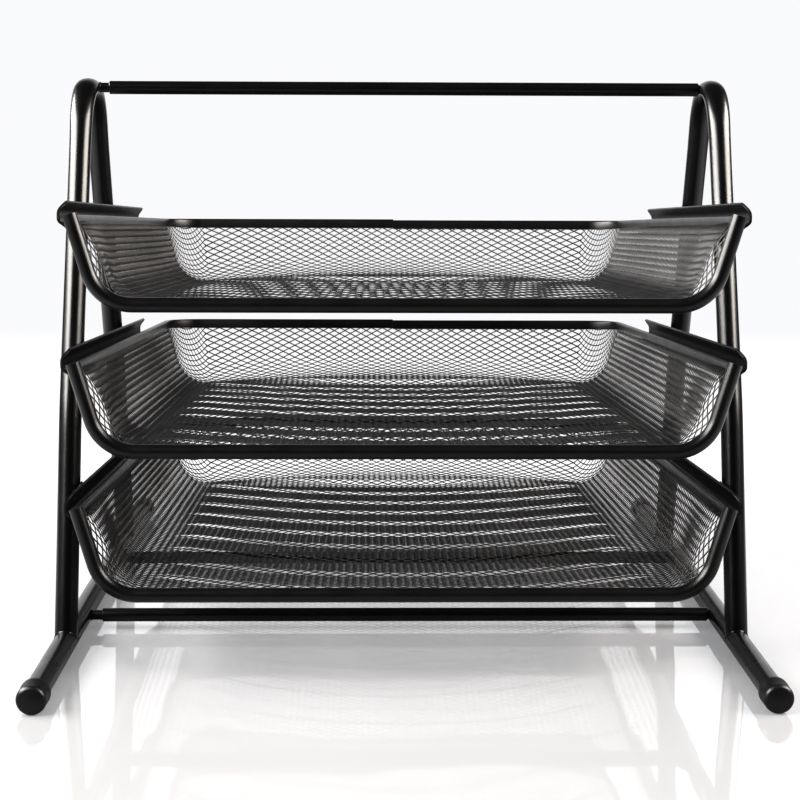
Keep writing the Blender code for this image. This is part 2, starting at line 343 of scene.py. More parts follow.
def turned(name, profile, sides, axis, sharp=SHARP_ANGLE):
    """A solid turned about an axis through the origin, from (radius, place) points.

    The profile starts and ends on the axis, or is a closed loop away from it.
    """
    axis = Vector(axis).normalized()
    side = axis.orthogonal().normalized()
    other = axis.cross(side)
    on_axis = abs(profile[0][0]) < NEARLY_ZERO
    verts = []
    rows = []
    for radius, place in profile:
        if abs(radius) < NEARLY_ZERO:
            rows.append([len(verts)] * sides)
            verts.append(axis * place)
            continue
        rows.append(list(range(len(verts), len(verts) + sides)))
        for k in range(sides):
            angle = 2.0 * pi * k / sides
            verts.append(axis * place + (side * cos(angle) + other * sin(angle)) * radius)
    pairs = list(zip(rows, rows[1:]))
    if not on_axis:
        pairs.append((rows[-1], rows[0]))
    faces = []
    for row, following in pairs:
        for k in range(sides):
            n = (k + 1) % sides
            corners = [row[k], row[n], following[n], following[k]]
            face = tuple(dict.fromkeys(corners))
            if len(face) > 2:
                faces.append(face)
    thing = new_object(name, verts, faces, sharp)
    make_outward(thing)
    return thing


def make_outward(thing):
    body = bmesh.new()
    body.from_mesh(thing.data)
    bmesh.ops.recalc_face_normals(body, faces=body.faces)
    body.to_mesh(thing.data)
    body.free()


def joined(name, things):
    """Several meshes as one object, each baked where it stands."""
    verts = []
    faces = []
    for thing in things:
        start = len(verts)
        verts.extend(thing.matrix_world @ v.co for v in thing.data.vertices)
        faces.extend(tuple(start + i for i in p.vertices) for p in thing.data.polygons)
        mesh = thing.data
        bpy.data.objects.remove(thing, do_unlink=True)
        bpy.data.meshes.remove(mesh)
    whole = new_object(name, verts, faces)
    make_outward(whole)
    return whole


def finish_piece(thing, body, slot, material, *nodes):
    """Gives a piece its material and body, and hides the CAD nodes that it stands for. The slot
    is not used.
    """
    thing.data.materials.clear()
    thing.data.materials.append(material)
    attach(thing, body)
    if nodes:
        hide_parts(*nodes)


# ---------------------------------------------------------------- materials

def noise_field(tree, coordinates, scale, detail=2.0):
    made = tree.nodes.new("ShaderNodeTexNoise")
    made.inputs["Scale"].default_value = scale
    made.inputs["Detail"].default_value = detail
    tree.links.new(coordinates, made.inputs["Vector"])
    return made.outputs["Fac"]


def mapped(tree, value, low, high, from_low=NOISE_LOW, from_high=NOISE_HIGH):
    """A value that runs from low to high while the given one runs from from_low to from_high."""
    made = tree.nodes.new("ShaderNodeMapRange")
    made.inputs["From Min"].default_value = from_low
    made.inputs["From Max"].default_value = from_high
    made.inputs["To Min"].default_value = low
    made.inputs["To Max"].default_value = high
    tree.links.new(value, made.inputs["Value"])
    return made.outputs["Result"]


def add_bump(tree, shader, height, distance, strength):
    bump = tree.nodes.new("ShaderNodeBump")
    bump.inputs["Distance"].default_value = distance
    bump.inputs["Strength"].default_value = strength
    tree.links.new(height, bump.inputs["Height"])
    tree.links.new(bump.outputs["Normal"], shader.inputs["Normal"])


def coated(name, tones, roughness, skin_height, skin_scale=SPRAY_SCALE):
    """A sprayed or moulded black surface: faint tone patches, uneven gloss and a fine skin.

    tones are its darkest and lightest colour, and roughness is its least and most.
    """
    material = bpy.data.materials.new(name)
    material.use_nodes = True
    tree = material.node_tree
    shader = tree.nodes["Principled BSDF"]
    place = tree.nodes.new("ShaderNodeTexCoord").outputs["Object"]

    patches = noise_field(tree, place, PATCH_SCALE, detail=4.0)
    tone = tree.nodes.new("ShaderNodeMix")
    tone.data_type = "RGBA"
    tone.inputs["A"].default_value = (*tones[0], 1.0)
    tone.inputs["B"].default_value = (*tones[1], 1.0)
    tree.links.new(mapped(tree, patches, 0.0, 1.0), tone.inputs["Factor"])
    tree.links.new(tone.outputs["Result"], shader.inputs["Base Color"])

    gloss = noise_field(tree, place, GLOSS_SCALE, detail=3.0)
    tree.links.new(mapped(tree, gloss, *roughness), shader.inputs["Roughness"])

    add_bump(tree, shader, noise_field(tree, place, skin_scale), skin_height, SKIN_STRENGTH)
    return material


BLACK = (0.0030, 0.0031, 0.0035)
LIGHTER_BLACK = (0.0048, 0.0048, 0.0052)
TUBE_PAINT = coated("tube_paint", (BLACK, (0.0046, 0.0046, 0.0050)), (0.27, 0.31), 0.000004)
RUNNER_PAINT = coated("runner_paint", (BLACK, LIGHTER_BLACK), (0.40, 0.46), 0.00001)
# The hem strip has the rim's paint. These darker colours are painted shade, for the dark look of
# the strip's faces.
SHADED_HEM_PAINT = coated("hem_paint_with_painted_shade", ((0.0022, 0.0023, 0.0026), (0.0036, 0.0036, 0.0040)),
                   (0.35, 0.40), 0.000006)
RIM_PAINT = coated("rim_paint", (BLACK, LIGHTER_BLACK), (0.32, 0.38), 0.000004)
MESH_PAINT = coated("mesh_paint", ((0.019, 0.019, 0.020), (0.029, 0.029, 0.030)),
                    (0.28, 0.40), 0.00003)
WELD_PAINT = coated("weld_paint", ((0.0032, 0.0033, 0.0037), (0.0050, 0.0050, 0.0055)),
                    (0.26, 0.34), 0.00002, skin_scale=1100.0)
CAP_PLASTIC = coated("cap_plastic", ((0.003, 0.003, 0.0034), (0.005, 0.005, 0.0054)),
                     (0.38, 0.46), 0.00005, skin_scale=1500.0)


# ---------------------------------------------------------------- stand

def leg_points():
    """Centre line of one inverted-V leg tube, in the plane of its side frame."""
    peak_z = LEG_TOP_Z - LEG_TOP_BEND + LEG_TOP_BEND / sin(LEG_UPPER_LEAN)
    kink_y = (peak_z - LEG_KINK_Z) * tan(LEG_UPPER_LEAN)
    foot_y = kink_y + (LEG_KINK_Z - RAIL_Z) * tan(LEG_LOWER_LEAN)
    corners = [(-foot_y, RAIL_Z), (-kink_y, LEG_KINK_Z), (0.0, peak_z),
               (kink_y, LEG_KINK_Z), (foot_y, RAIL_Z)]
    bends = [LEG_KINK_BEND, LEG_TOP_BEND, LEG_KINK_BEND]
    return rounded(corners, bends, LEG_BEND_STEPS)


def build_leg(side, sign):
    x = sign * SIDE_X
    path = []
    sizes = []
    for y, z in resampled(leg_points(), LEG_SPACING):
        path.append((x, STAND_Y + y, z))
        from_top = min(1.0, hypot(y, z - LEG_TOP_Z) / LEG_FLAT_REACH)
        flat = cos(pi / 2.0 * from_top) ** 2
        sizes.append((1.0 - LEG_TOP_THINNING * flat, 1.0 + LEG_TOP_WIDENING * flat))
    leg = sweep(side + "_leg", path, ring(TUBE_RADIUS, LEG_SIDES), (1.0, 0.0, 0.0), scale=sizes)
    make_outward(leg)
    finish_piece(leg, "stand", "tube_paint", TUBE_PAINT, side + "_leg_tube")


def build_rail(side, sign):
    half = RAIL_HALF_LENGTH
    bore = TUBE_RADIUS - RAIL_WALL
    profile = [(TUBE_RADIUS - RAIL_EDGE, half), (TUBE_RADIUS, half - RAIL_EDGE),
               (TUBE_RADIUS, 0.0), (TUBE_RADIUS, RAIL_EDGE - half),
               (TUBE_RADIUS - RAIL_EDGE, -half), (bore, -half), (bore, half)]
    rail = turned(side + "_rail", profile, RAIL_SIDES, (0.0, 1.0, 0.0))
    rail.location = (sign * SIDE_X, STAND_Y, RAIL_Z)
    finish_piece(rail, "stand", "tube_paint", TUBE_PAINT, side + "_foot_rail")


def cap_profile():
    """Half section of a push-on cap, from the middle of its domed face to its open end."""
    body = CAP_RADIUS - CAP_COLLAR_STEP
    face = body - CAP_FACE_EDGE
    points = []
    for i in range(CAP_DOME_STEPS + 1):
        radius = face * i / CAP_DOME_STEPS
        points.append((radius, -CAP_DOME * (radius / face) ** 2))
    for i in range(1, CAP_FACE_EDGE_STEPS + 1):
        angle = pi / 2.0 * i / CAP_FACE_EDGE_STEPS
        points.append((face + CAP_FACE_EDGE * sin(angle),
                       -CAP_DOME - CAP_FACE_EDGE * (1.0 - cos(angle))))
    collar = CAP_LENGTH - CAP_COLLAR_LENGTH
    points.append((body, -collar + CAP_SHOULDER_START))
    points.append((CAP_RADIUS, -collar - CAP_SHOULDER_END))
    points.append((CAP_RADIUS, -CAP_LENGTH + CAP_MOUTH_EDGE))
    for i in range(1, CAP_MOUTH_STEPS + 1):
        angle = pi / 2.0 * i / CAP_MOUTH_STEPS
        points.append((CAP_RADIUS - CAP_MOUTH_EDGE * (1.0 - cos(angle)),
                       -CAP_LENGTH + CAP_MOUTH_EDGE * (1.0 - sin(angle))))
    bore = TUBE_RADIUS + CAP_CLEARANCE
    points.append((bore, -CAP_LENGTH))
    points.append((bore, -CAP_FACE_THICKNESS))
    points.append((0.0, -CAP_FACE_THICKNESS))
    return points


def build_cap(end, side, sign, turn):
    cap = turned(end + "_" + side + "_cap", cap_profile(), CAP_SIDES, (0.0, turn, 0.0),
                 CAP_SHARP_ANGLE)
    cap.location = (sign * SIDE_X, STAND_Y + turn * CAP_PLACE, RAIL_Z)
    finish_piece(cap, "stand", "cap_plastic", CAP_PLASTIC, end + "_" + side + "_foot_cap")


def build_crossbar(name, y, z, reach):
    """A sleeve on two pins that end on the tubes, at x = reach. The left pin has a weld bead."""
    left = SLEEVE_LEFT_END
    right = reach - SLEEVE_RIGHT_GAP
    profile = [(SLEEVE_RADIUS - SLEEVE_EDGE, right), (SLEEVE_RADIUS, right - SLEEVE_EDGE),
               (SLEEVE_RADIUS, 0.0), (SLEEVE_RADIUS, left + SLEEVE_EDGE),
               (SLEEVE_RADIUS - SLEEVE_EDGE, left), (SLEEVE_BORE, left), (SLEEVE_BORE, right)]
    sleeve = turned(name + "_bar", profile, SLEEVE_SIDES, (1.0, 0.0, 0.0))
    sleeve.location = (0.0, y, z)
    finish_piece(sleeve, "stand", "tube_paint", TUBE_PAINT, name + "_crossbar")
    for side, sign in SIDES.items():
        start = SPIGOT_INNER_END * sign
        end = (reach + SPIGOT_EMBED) * sign
        profile = [(0.0, start), (SPIGOT_RADIUS, start), (SPIGOT_RADIUS, end), (0.0, end)]
        pin = turned(name + "_" + side + "_pin", profile, SPIGOT_SIDES, (1.0, 0.0, 0.0))
        pin.location = (0.0, y, z)
        finish_piece(pin, "stand", "tube_paint", TUBE_PAINT, name + "_" + side + "_spigot")
    bead_path = [(-reach - PIN_BEAD_EMBED, y + across, z + up)
                 for across, up in ring(SPIGOT_RADIUS, PIN_BEAD_STEPS)]
    bead = sweep(name + "_left_pin_weld", bead_path, ring(PIN_BEAD_RADIUS, BEAD_SIDES),
                 (1.0, 0.0, 0.0), closed_path=True)
    make_outward(bead)
    finish_piece(bead, "stand", "tube_paint", WELD_PAINT)


def ripple(i, seed):
    """Relative thickness of a hand-laid bead at its i-th section: two sine waves about 1."""
    return 1.0 + 0.06 * sin(0.9 * i + seed) + 0.04 * sin(2.1 * i + 2.0 * seed)


def build_foot_weld(name, sign, end, foot_y):
    """The bead where a leg is coped over the rail: one half-ellipse before it, one behind."""
    lean = LEG_LOWER_LEAN * end
    leg_up = Vector((0.0, -sin(lean), cos(lean)))
    beads = []
    for facing in (-1.0, 1.0):
        bisector = (leg_up + Vector((0.0, facing, 0.0))).normalized()
        reach = TUBE_RADIUS / bisector.z
        path = []
        sizes = []
        for i in range(FOOT_BEAD_STEPS + 1):
            angle = pi * i / FOOT_BEAD_STEPS
            point = Vector((TUBE_RADIUS * cos(angle), 0.0, 0.0)) + bisector * reach * sin(angle)
            path.append(point + Vector((sign * SIDE_X, STAND_Y + foot_y, RAIL_Z)))
            fullness = sqrt(max(0.0, sin(angle)))
            size = FOOT_BEAD_END_SIZE + (1.0 - FOOT_BEAD_END_SIZE) * fullness
            size *= ripple(i, facing + foot_y)
            sizes.append((size, size))
        normal = Vector((1.0, 0.0, 0.0)).cross(bisector)
        beads.append(sweep(name, path, ring(FOOT_BEAD_RADIUS, BEAD_SIDES), normal, scale=sizes))
    finish_piece(joined(name, beads), "stand", "tube_paint", WELD_PAINT)


# ---------------------------------------------------------------- tiers

def in_tier(thing, height):
    """Places a piece that was made in the frame of a tier."""
    thing.location = (0.0, TIER_FRONT_Y, height)
    thing.rotation_euler.x = -TIER_TILT


def corner_cut(distance, radius):
    """How far a rounded corner takes an edge down, at a distance from its end."""
    if distance >= radius:
        return 0.0
    return radius - sqrt(radius * radius - (radius - distance) ** 2)


def runner_stations():
    """Places along a runner, close together where its two upper corners are rounded."""
    shares = [1.0 - cos(pi / 2.0 * i / RUNNER_ROUND_STEPS) for i in range(RUNNER_ROUND_STEPS + 1)]
    front = [RUNNER_FRONT_ROUND * share for share in shares]
    rear = [RUNNER_REAR_ROUND * share for share in shares]
    return front + [RUNNER_LENGTH - distance for distance in reversed(rear)]


def trimmed(section, limit, steps):
    """The part of a falling 2D polyline below a height, as evenly spaced points."""
    points = list(section)
    while len(points) > 2 and points[1].y >= limit:
        points.pop(0)
    if points[0].y > limit:
        share = (points[0].y - limit) / (points[0].y - points[1].y)
        points[0] = points[0].lerp(points[1], share)
    lengths = np.cumsum([0.0] + [(b - a).length for a, b in zip(points, points[1:])])
    places = np.linspace(0.0, lengths[-1], steps + 1)
    x = np.interp(places, lengths, [p.x for p in points])
    z = np.interp(places, lengths, [p.y for p in points])
    return list(zip(x.tolist(), z.tolist()))


def build_runner(tier, side, sign, height):
    """A rolled strip: a wall that curls in at the top, and a flange that slopes in below."""
    corners = [(RUNNER_X - RUNNER_TOP_IN, RUNNER_TOP),
               (RUNNER_X, RUNNER_TOP - RUNNER_TOP_BEND), (RUNNER_X, RUNNER_FOLD),
               (RUNNER_X - RUNNER_FLANGE,
                RUNNER_FOLD - RUNNER_FLANGE * tan(RUNNER_FLANGE_DROP))]
    section = rounded(corners, [RUNNER_TOP_BEND, RUNNER_FOLD_BEND], RUNNER_BEND_STEPS)
    rows = []
    for y in runner_stations():
        drop = max(corner_cut(y, RUNNER_FRONT_ROUND),
                   corner_cut(RUNNER_LENGTH - y, RUNNER_REAR_ROUND))
        row = trimmed(section, RUNNER_TOP - drop, RUNNER_SECTION_STEPS)
        rows.append([(sign * x, y, z) for x, z in row])
    width = len(rows[0])
    verts = [point for row in rows for point in row]
    faces = []
    for i in range(len(rows) - 1):
        for k in range(width - 1):
            a = i * width + k
            faces.append((a, a + 1, a + width + 1, a + width))
    runner = new_object(tier + "_" + side + "_track", verts, faces)
    make_outward(runner)
    thicken = runner.modifiers.new("sheet", "SOLIDIFY")
    thicken.thickness = RUNNER_SHEET
    thicken.offset = 0.0
    thicken.use_even_offset = True
    soften = runner.modifiers.new("edges", "BEVEL")
    soften.width = RUNNER_EDGE
    soften.segments = 2
    soften.limit_method = "ANGLE"
    soften.angle_limit = RUNNER_EDGE_ANGLE
    in_tier(runner, height)
    finish_piece(runner, "stand", "runner_paint", RUNNER_PAINT, tier + "_" + side + "_runner")


def leg_place(z):
    """How far a leg's centre line stands from the stand's middle plane at a height."""
    points = leg_points()
    half = [p for p in points if p.x <= 0.0]
    for first, second in zip(half, half[1:]):
        if first.y <= z <= second.y:
            return -(first.x + (second.x - first.x) * (z - first.y) / (second.y - first.y))
    return -half[-1].x


def build_runner_welds(tier, side, sign, height):
    """Short beads on both sides of each leg, where the runner's wall lies against it."""
    beads = []
    for end in (-1.0, 1.0):
        # The runner falls to the back, so where it crosses a leaning leg is found in rounds
        middle_z = height
        for _ in range(4):
            y = STAND_Y + end * leg_place(middle_z)
            middle_z = height - (y - TIER_FRONT_Y) * tan(TIER_TILT) + RUNNER_BEAD_RISE
        for flank in (-1.0, 1.0):
            path = []
            sizes = []
            for i in range(RUNNER_BEAD_STEPS + 1):
                t = i / RUNNER_BEAD_STEPS * 2.0 - 1.0
                z = middle_z + RUNNER_BEAD_HALF_LENGTH * t
                centre_y = STAND_Y + end * leg_place(z)
                path.append((sign * (RUNNER_X + RUNNER_SHEET / 2.0 + RUNNER_BEAD_GAP),
                             centre_y + flank * RUNNER_BEAD_OFFSET, z))
                size = sqrt(max(RUNNER_BEAD_END_SHARE, 1.0 - t * t))
                size *= ripple(i, end + flank + height)
                sizes.append((size, size))
            beads.append(sweep("bead", path, ring(RUNNER_BEAD_RADIUS, BEAD_SIDES),
                               (1.0, 0.0, 0.0), scale=sizes))
    weld = joined(tier + "_" + side + "_track_weld", beads)
    finish_piece(weld, "stand", "tube_paint", WELD_PAINT)


# Wall profile from the floor's edge up to the rim, by arc length
BEND_TURN = pi / 2.0 - WALL_LEAN
BEND_REACH = FLOOR_BEND * tan(BEND_TURN / 2.0)
BEND_LENGTH = FLOOR_BEND * BEND_TURN
WALL_LENGTH = FLOOR_DEPTH / cos(WALL_LEAN) - BEND_REACH
PROFILE_LENGTH = BEND_LENGTH + WALL_LENGTH
FLOOR_INSET = FLOOR_DEPTH * tan(WALL_LEAN) + BEND_REACH
FLOOR_HALF_WIDTH = WALL_TOP_X - FLOOR_INSET
FLOOR_BACK_Y = TRAY_BACK_Y - FLOOR_INSET
FLOOR_CORNER = RIM_CORNER - CORNER_TIGHTENING * FLOOR_INSET
HALF_LONG = (FLOOR_HALF_WIDTH + PROFILE_LENGTH - MESH_EDGE_COVER) / HALF_COLUMNS
HALF_SHORT = (FLOOR_BACK_Y + PROFILE_LENGTH - MESH_BACK_COVER + MESH_FRONT_COVER) / ROWS


def wall_profile(s):
    """(inset from the rim, z, normal's inward part, normal's upward part) at arc lengths s."""
    turn = np.clip(s / FLOOR_BEND, 0.0, BEND_TURN)
    past = np.clip(s - BEND_LENGTH, 0.0, None)
    inset = FLOOR_INSET - FLOOR_BEND * np.sin(turn) - past * cos(BEND_TURN)
    z = -FLOOR_DEPTH + FLOOR_BEND * (1.0 - np.cos(turn)) + past * sin(BEND_TURN)
    return inset, z, np.sin(turn), np.cos(turn)


def floor_waves(u, v):
    """Height of the floor's waves, which run across the tray and bow back at the sides."""
    phase = np.mod((v - WAVE_BOW * (u / FLOOR_HALF_WIDTH) ** 2) / WAVE_PITCH, 1.0)
    height = np.where(phase < WAVE_FRONT_SHARE, phase / WAVE_FRONT_SHARE,
                      (1.0 - phase) / (1.0 - WAVE_FRONT_SHARE))
    room = np.minimum(FLOOR_HALF_WIDTH - np.abs(u), np.minimum(FLOOR_BACK_Y - v, v))
    return WAVE_HEIGHT * height * np.clip(room / WAVE_FADE, 0.0, 1.0)


def back_ease(u, v):
    """How far the bend in front of the back wall is lifted off its corner."""
    from_bend = (v - FLOOR_BACK_Y - BEND_LENGTH / 2.0) / BACK_EASE_REACH
    centred = np.clip(1.0 - (u / FLOOR_HALF_WIDTH) ** 2, 0.0, 1.0)
    return BACK_EASE * centred * np.clip(1.0 - from_bend ** 2, 0.0, 1.0) ** 2


def side_belly(v, s):
    """How far a side wall bows in behind the front rim."""
    to_front = np.clip(v / BELLY_FRONT, 0.0, 1.0)
    to_back = np.clip((BELLY_LENGTH - v) / (BELLY_LENGTH - BELLY_FRONT), 0.0, 1.0)
    belly = to_front * (2.0 - to_front) * to_back ** 2 * (3.0 - 2.0 * to_back)
    return BELLY * belly * np.sin(pi * s / PROFILE_LENGTH)


def pan_surface(u, v, lift):
    """Maps the flat sheet (u across, v to the back) onto the pressed pan, lift above it."""
    on_floor = (np.abs(u) < FLOOR_HALF_WIDTH) & (v < FLOOR_BACK_Y - BACK_EASE_REACH)
    lift = lift * np.where(on_floor, FLOOR_STRAND_SCALE, 1.0) + floor_waves(u, v)
    side = np.where(u < 0.0, -1.0, 1.0)
    a = np.abs(u) - (FLOOR_HALF_WIDTH - FLOOR_CORNER)
    b = v - (FLOOR_BACK_Y - FLOOR_CORNER)
    in_corner = (a > 0.0) & (b > 0.0)
    on_side = (~in_corner) & (a > FLOOR_CORNER)
    on_back = (~in_corner) & (b > FLOOR_CORNER)
    reach = np.hypot(np.maximum(a, 0.0), np.maximum(b, 0.0))
    s = np.where(in_corner, reach, np.where(on_side, a, np.where(on_back, b, 0.0)))
    s = np.clip(s - FLOOR_CORNER, 0.0, PROFILE_LENGTH - MESH_EDGE_LIMIT)
    inset, z, lean_in, lean_up = wall_profile(s)
    raised = s > 0.0

    angle = np.arctan2(np.maximum(b, 0.0), np.maximum(a, NEARLY_ZERO))
    radius = RIM_CORNER - CORNER_TIGHTENING * inset
    corner_x = WALL_TOP_X - inset - radius
    corner_y = TRAY_BACK_Y - inset - radius
    out_x = np.where(in_corner, np.cos(angle), np.where(on_side, 1.0, 0.0))
    out_y = np.where(in_corner, np.sin(angle), np.where(on_back, 1.0, 0.0))

    spread = (1.0 - CORNER_TIGHTENING) * (FLOOR_INSET - inset)
    slide_b = spread * np.clip(1.0 + b / CORNER_SPREAD_LENGTH, 0.0, 1.0) ** 2
    slide_a = spread * np.clip(1.0 + a / CORNER_SPREAD_LENGTH, 0.0, 1.0) ** 2
    x = np.abs(u)
    y = v.copy()
    x = np.where(in_corner & raised, corner_x + radius * out_x, x)
    y = np.where(in_corner & raised, corner_y + radius * out_y, y)
    x = np.where(on_side & raised, WALL_TOP_X - inset, x)
    y = np.where(on_side & raised, v + slide_b, y)
    x = np.where(on_back & raised, np.abs(u) + slide_a, x)
    y = np.where(on_back & raised, TRAY_BACK_Y - inset, y)
    lift = lift + back_ease(u, v)
    lift = lift + np.where(on_side, side_belly(v, s), 0.0)
    x = x - lift * lean_in * out_x
    y = y - lift * lean_in * out_y
    z = z + lift * np.where(raised, lean_up, 1.0)
    return np.stack([side * x, y, z], axis=-1)


def sheet_diamonds():
    """(column, row) of each diamond of the sheet that lies inside the rim."""
    columns = HALF_COLUMNS + 2
    diamonds = np.array([(i, j) for i in range(-columns, columns + 1)
                         for j in range(-1, ROWS + 3) if (i + j) % 2 == 0])
    u = diamonds[:, 0] * HALF_LONG
    v = diamonds[:, 1] * HALF_SHORT - MESH_FRONT_COVER
    a = np.abs(u) - (FLOOR_HALF_WIDTH - FLOOR_CORNER)
    b = v - (FLOOR_BACK_Y - FLOOR_CORNER)
    in_corner = (a > 0.0) & (b > 0.0)
    reach = np.where(in_corner, np.hypot(a, b), np.maximum(a, b)) - FLOOR_CORNER
    side_limit = PROFILE_LENGTH - MESH_EDGE_COVER + MESH_TOLERANCE
    back_limit = PROFILE_LENGTH - MESH_BACK_COVER + MESH_TOLERANCE
    limit = np.where(in_corner, PROFILE_LENGTH - MESH_CORNER_COVER,
                     np.where(a > b, side_limit, back_limit))
    return diamonds[(reach <= limit) & (v > -0.5 * HALF_SHORT - MESH_FRONT_COVER)]


def expanded_metal(name):
    """One pressed sheet of expanded metal: every strand is solid, with a twisted lens section."""
    hyp = hypot(HALF_LONG, HALF_SHORT)
    inset = 1.0 - STRAND_WIDTH / 2.0 * hyp / (HALF_LONG * HALF_SHORT)
    tiles = sheet_diamonds()

    corner_steps = [(1, 0), (0, 1), (-1, 0), (0, -1)]
    lattice = {}
    tile_corners = []
    for i, j in tiles:
        row = []
        for di, dj in corner_steps:
            key = (int(i + di), int(j + dj))
            row.append(lattice.setdefault(key, len(lattice)))
        tile_corners.append(row)
    lattice_points = np.array(list(lattice.keys()), float)
    node_u = lattice_points[:, 0] * HALF_LONG
    node_v = lattice_points[:, 1] * HALF_SHORT - MESH_FRONT_COVER
    half = STRAND_THICKNESS / 2.0
    upper = pan_surface(node_u, node_v, np.full(len(node_u), half))
    lower = pan_surface(node_u, node_v, np.full(len(node_u), -half))
    centre_u = tiles[:, 0] * HALF_LONG
    centre_v = tiles[:, 1] * HALF_SHORT - MESH_FRONT_COVER
    holes = []
    for (di, dj), twist in zip(corner_steps, (0.0, -STRAND_TWIST, 0.0, STRAND_TWIST)):
        holes.append(pan_surface(centre_u + di * HALF_LONG * inset,
                                 centre_v + dj * HALF_SHORT * inset,
                                 np.full(len(tiles), twist)))
    points = np.concatenate([upper, lower] + holes)

    nodes = len(lattice)
    count = len(tiles)
    faces = []
    edge_use = {}
    for t, corners in enumerate(tile_corners):
        for k in range(4):
            n = (k + 1) % 4
            a, b = corners[k], corners[n]
            inner_a = 2 * nodes + k * count + t
            inner_b = 2 * nodes + n * count + t
            faces.append((a, b, inner_b, inner_a))
            faces.append((nodes + b, nodes + a, inner_a, inner_b))
            key = (min(a, b), max(a, b))
            edge_use.setdefault(key, []).append((a, b))
    for uses in edge_use.values():
        if len(uses) == 1:
            a, b = uses[0]
            faces.append((b, a, nodes + a, nodes + b))

    mesh = bpy.data.meshes.new(name)
    mesh.from_pydata(points.tolist(), [], faces)
    mesh.update()
    mesh.shade_smooth()
    return mesh


def hem_section():
    """Closed section of the folded strip: round on top, pinched on the mesh at its foot.

    Across is positive on the tray's outer side. The inner side bulges further than the outer.
    """
    points = [(-HEM_FOOT, -HEM_HEIGHT)]
    for i in range(HEM_CROWN_STEPS + 1):
        angle = pi - pi * i / HEM_CROWN_STEPS
        reach = HEM_INNER_BULGE if cos(angle) < 0.0 else HEM_WIDTH / 2.0
        points.append((reach * cos(angle), HEM_CROWN * (sin(angle) - 1.0)))
    points.append((HEM_WIDTH / 2.0 - HEM_OUTER_TUCK, -HEM_HEIGHT + HEM_PINCH))
    points.append((HEM_FOOT, -HEM_HEIGHT))
    return points


def hem_path():
    """Plan line of half of the rim: along one side, round the corner and to the middle."""
    corners = [(-WALL_TOP_X, 0.0), (-WALL_TOP_X, TRAY_BACK_Y),
               (WALL_TOP_X, TRAY_BACK_Y), (WALL_TOP_X, 0.0)]
    outline = rounded(corners, [RIM_CORNER, RIM_CORNER], HEM_CORNER_STEPS)
    half = outline[:len(outline) // 2] + [Vector((-HEM_HALVES_GAP, TRAY_BACK_Y))]
    return resampled(half, HEM_SPACING)


def build_hem(tier, side, sign, height, drop):
    """Half of the folded rim strip: one side, one back corner and half of the back."""
    path = hem_path()
    section = hem_section()
    verts = []
    for i, place in enumerate(path):
        before = path[max(i - 1, 0)]
        after = path[min(i + 1, len(path) - 1)]
        along = (after - before).normalized()
        outward = Vector((-along.y, along.x))
        travelled = min(1.0, place.y / TRAY_BACK_Y)
        lowered = drop * travelled * travelled
        squash = HEM_SIDE_HEIGHT / HEM_HEIGHT
        squash += (1.0 - squash) * travelled ** HEM_GROWTH
        for across, up in section:
            up = up * squash if up < -HEM_CROWN else up
            out = across * cos(WALL_LEAN) + up * sin(WALL_LEAN)
            z = up * cos(WALL_LEAN) - across * sin(WALL_LEAN)
            point = place + outward * out
            verts.append((-sign * point.x, point.y, z - lowered))
    m = len(section)
    faces = []
    for i in range(len(path) - 1):
        for k in range(m):
            n = (k + 1) % m
            faces.append((i * m + k, i * m + n, (i + 1) * m + n, (i + 1) * m + k))
    faces.append(tuple(range(m)))
    faces.append(tuple((len(path) - 1) * m + k for k in range(m)))
    hem = new_object(tier + "_" + side + "_hem", verts, faces, HEM_SHARP_ANGLE)
    make_outward(hem)
    in_tier(hem, height)
    # The hem gets the rim's paint with darker colours, which are painted shade.
    finish_piece(hem, tier + "_tray", "rim_paint", SHADED_HEM_PAINT, tier + "_" + side + "_rim_hem")


def rim_section():
    """Closed section of the front rim: a round roll with two lips that pinch the mesh."""
    radius = FRONT_RIM_RADIUS
    lip = FRONT_RIM_LIP
    reach = radius + FRONT_RIM_LIP_LENGTH
    start = asin(lip / radius)
    points = [(lip, reach)]
    for i in range(FRONT_RIM_SECTION_STEPS + 1):
        angle = start + (2.0 * pi - 2.0 * start) * i / FRONT_RIM_SECTION_STEPS
        points.append((radius * sin(angle), radius * cos(angle)))
    points.append((-lip, reach))
    return points


def build_front_rim(tier, height):
    """A rolled bar down one wall's front edge, across the floor's and up the other's."""
    s = np.linspace(PROFILE_LENGTH, 0.0, FRONT_RIM_STEPS + 1)
    inset, z, _, _ = wall_profile(s)
    half = [(WALL_TOP_X - i, h) for i, h in zip(inset, z)]
    outline = half + [(-x, h) for x, h in reversed(half)]
    y = -FRONT_RIM_RADIUS - FRONT_RIM_GAP
    path = [(x, y, h) for x, h in outline]
    rim = sweep(tier + "_rim_roll", path, rim_section(), (0.0, 1.0, 0.0),
                sharp=FRONT_RIM_SHARP_ANGLE)
    make_outward(rim)
    in_tier(rim, height)
    finish_piece(rim, tier + "_tray", "rim_paint", RIM_PAINT, tier + "_front_rim")


def build_pan(tier, height, mesh):
    pan = bpy.data.objects.new(tier + "_strands", mesh)
    bpy.context.scene.collection.objects.link(pan)
    in_tier(pan, height)
    finish_piece(pan, tier + "_tray", "mesh_paint", MESH_PAINT, tier + "_mesh_pan")


# ---------------------------------------------------------------- surroundings

def fade_out(tree, shader, place):
    """Lets the floor turn into the backdrop with its distance from the middle."""
    length = tree.nodes.new("ShaderNodeVectorMath")
    length.operation = "LENGTH"
    tree.links.new(place, length.inputs[0])
    fade = mapped(tree, length.outputs["Value"], 0.0, 1.0, FLOOR_FADE_START, FLOOR_FADE_END)
    clear = tree.nodes.new("ShaderNodeBsdfTransparent")
    blend = tree.nodes.new("ShaderNodeMixShader")
    tree.links.new(fade, blend.inputs["Fac"])
    tree.links.new(shader.outputs["BSDF"], blend.inputs[1])
    tree.links.new(clear.outputs["BSDF"], blend.inputs[2])
    tree.links.new(blend.outputs["Shader"], tree.nodes["Material Output"].inputs["Surface"])


